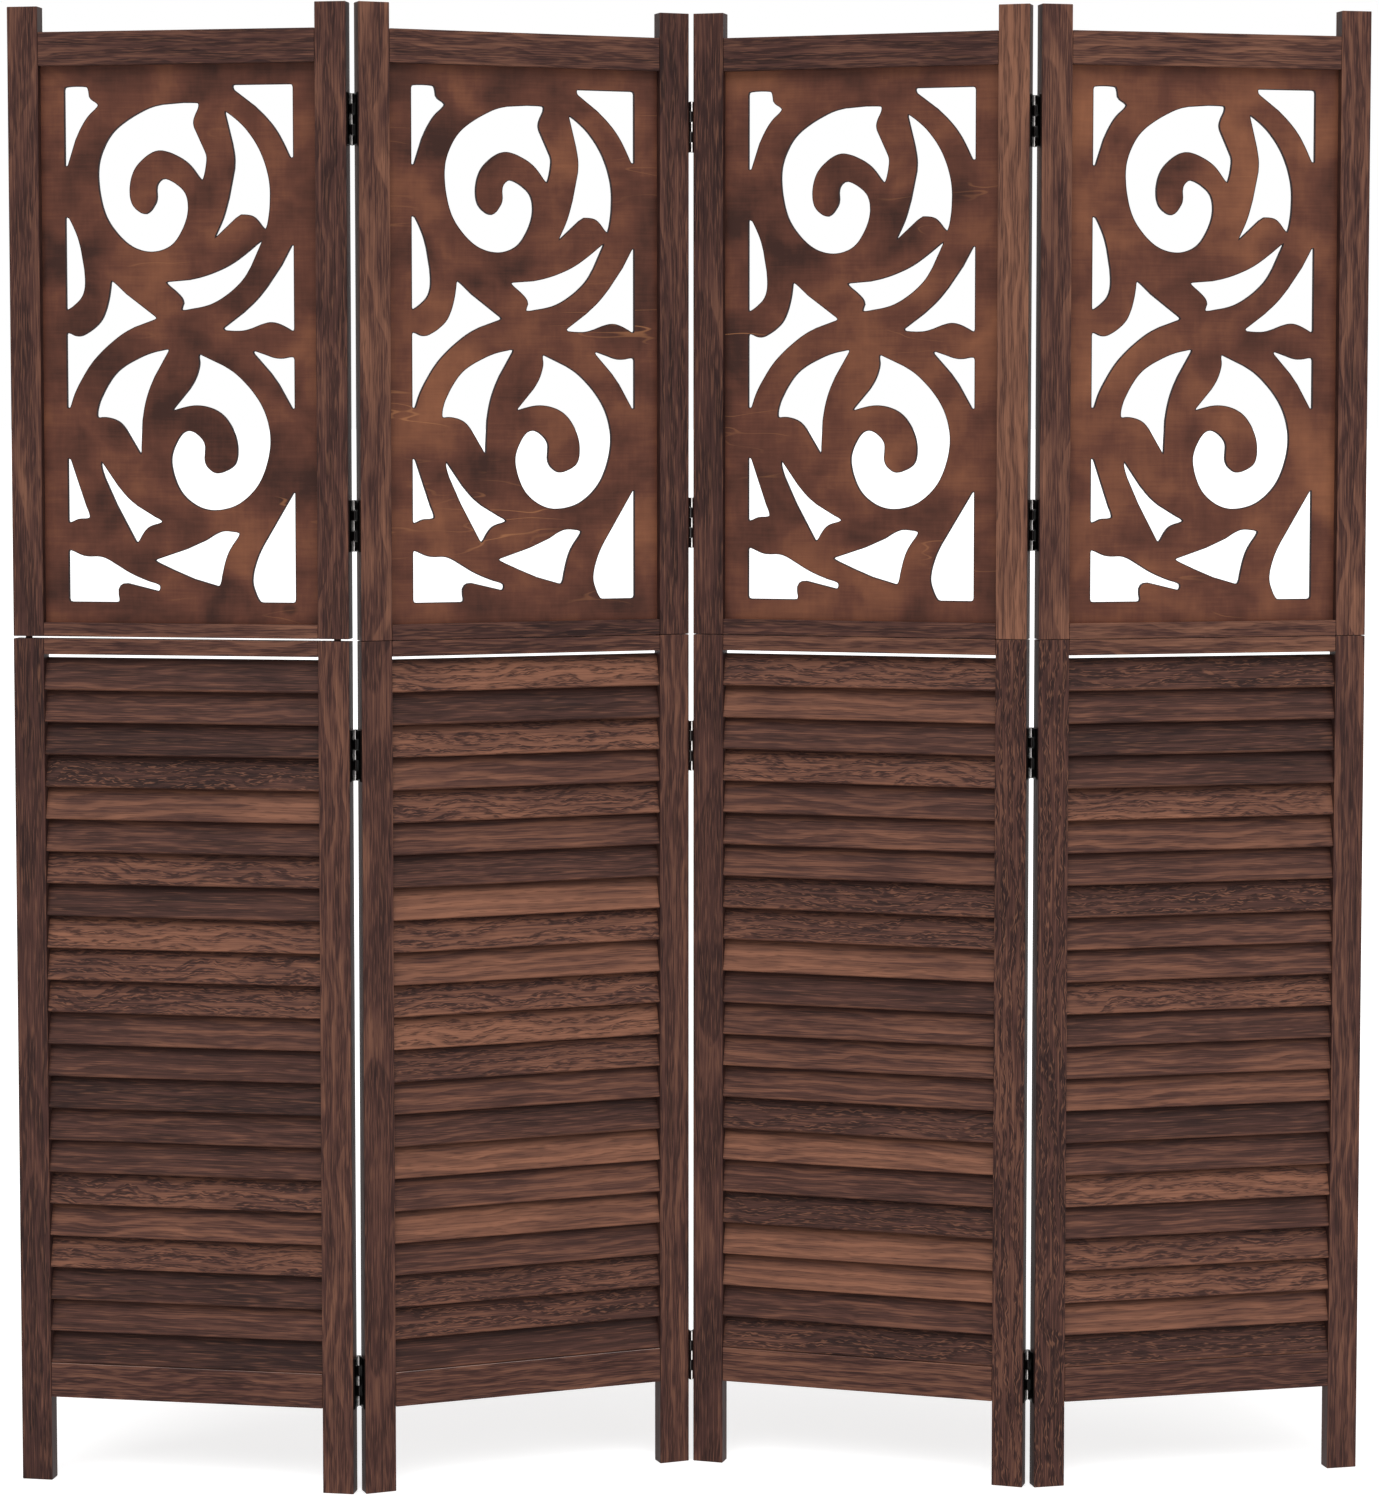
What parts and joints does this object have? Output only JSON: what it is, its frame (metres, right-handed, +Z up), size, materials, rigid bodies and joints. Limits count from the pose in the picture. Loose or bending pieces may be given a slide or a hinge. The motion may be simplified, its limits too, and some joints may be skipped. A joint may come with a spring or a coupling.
{
  "type": "folding screen",
  "caption": "Hinged zigzag folding screen in dark wood: scroll-cut plywood in frames doweled above louvred lower frames that stand on square feet.",
  "frame": {"origin": "on the floor under the middle of the bounding box of the screen as it stands in its zigzag", "axes": "+Z up; +X from the first panel to the last, to the right seen from the front; +Y from the front to the back"},
  "size_m": [1.5614, 0.1612, 1.7],
  "materials": {
    "frame_wood": "dark walnut stain, satin, open grain",
    "louvre_wood": "dark walnut stain, satin, grain along the slats",
    "fretwork_ply": "plywood, red-brown stain, satin",
    "hinge_metal": "dark bronze plating, worn bright on the knuckles"
  },
  "bodies": {
    "panel_1": {"panel_1_louvre_stile_left": "louvre_wood", "panel_1_louvre_stile_right": "frame_wood", "panel_1_middle_rail": "frame_wood", "panel_1_bottom_rail": "frame_wood", "panel_1_upper_stile_left": "frame_wood", "panel_1_upper_stile_right": "frame_wood", "panel_1_sill_rail": "frame_wood", "panel_1_top_rail": "frame_wood", "panel_1_fretwork": "fretwork_ply", "hinge_1_2_top_pin_leaf": "hinge_metal", "hinge_1_2_upper_pin_leaf": "hinge_metal", "hinge_1_2_lower_pin_leaf": "hinge_metal", "hinge_1_2_bottom_pin_leaf": "hinge_metal"},
    "panel_2": {"panel_2_louvre_stile_left": "louvre_wood", "panel_2_louvre_stile_right": "frame_wood", "panel_2_middle_rail": "frame_wood", "panel_2_bottom_rail": "frame_wood", "panel_2_upper_stile_left": "frame_wood", "panel_2_upper_stile_right": "frame_wood", "panel_2_sill_rail": "frame_wood", "panel_2_top_rail": "frame_wood", "panel_2_fretwork": "fretwork_ply", "hinge_1_2_top_leaf": "hinge_metal", "hinge_1_2_upper_leaf": "hinge_metal", "hinge_1_2_lower_leaf": "hinge_metal", "hinge_1_2_bottom_leaf": "hinge_metal", "hinge_2_3_top_pin_leaf": "hinge_metal", "hinge_2_3_upper_pin_leaf": "hinge_metal", "hinge_2_3_lower_pin_leaf": "hinge_metal", "hinge_2_3_bottom_pin_leaf": "hinge_metal"},
    "panel_3": {"panel_3_louvre_stile_left": "louvre_wood", "panel_3_louvre_stile_right": "frame_wood", "panel_3_middle_rail": "frame_wood", "panel_3_bottom_rail": "frame_wood", "panel_3_upper_stile_left": "frame_wood", "panel_3_upper_stile_right": "frame_wood", "panel_3_sill_rail": "frame_wood", "panel_3_top_rail": "frame_wood", "panel_3_fretwork": "fretwork_ply", "hinge_2_3_top_leaf": "hinge_metal", "hinge_2_3_upper_leaf": "hinge_metal", "hinge_2_3_lower_leaf": "hinge_metal", "hinge_2_3_bottom_leaf": "hinge_metal", "hinge_3_4_top_pin_leaf": "hinge_metal", "hinge_3_4_upper_pin_leaf": "hinge_metal", "hinge_3_4_lower_pin_leaf": "hinge_metal", "hinge_3_4_bottom_pin_leaf": "hinge_metal"},
    "panel_4": {"panel_4_louvre_stile_left": "louvre_wood", "panel_4_louvre_stile_right": "frame_wood", "panel_4_middle_rail": "frame_wood", "panel_4_bottom_rail": "frame_wood", "panel_4_upper_stile_left": "frame_wood", "panel_4_upper_stile_right": "frame_wood", "panel_4_sill_rail": "frame_wood", "panel_4_top_rail": "frame_wood", "panel_4_fretwork": "fretwork_ply", "hinge_3_4_top_leaf": "hinge_metal", "hinge_3_4_upper_leaf": "hinge_metal", "hinge_3_4_lower_leaf": "hinge_metal", "hinge_3_4_bottom_leaf": "hinge_metal"}
  },
  "joints": [
    {"name": "fold_1_2", "type": "hinge", "parent": "panel_1", "child": "panel_2", "pos_m": [-0.38447, -0.05952, 0], "axis": [0, 0, 1], "range_deg": [-30.5, 149.5]},
    {"name": "fold_2_3", "type": "hinge", "parent": "panel_2", "child": "panel_3", "pos_m": [-0.00217, 0.06035, 0], "axis": [0, 0, -1], "range_deg": [-37.7, 142.3]},
    {"name": "fold_3_4", "type": "hinge", "parent": "panel_3", "child": "panel_4", "pos_m": [0.38771, -0.03188, 0], "axis": [0, 0, 1], "range_deg": [-29.7, 150.3]}
  ]
}
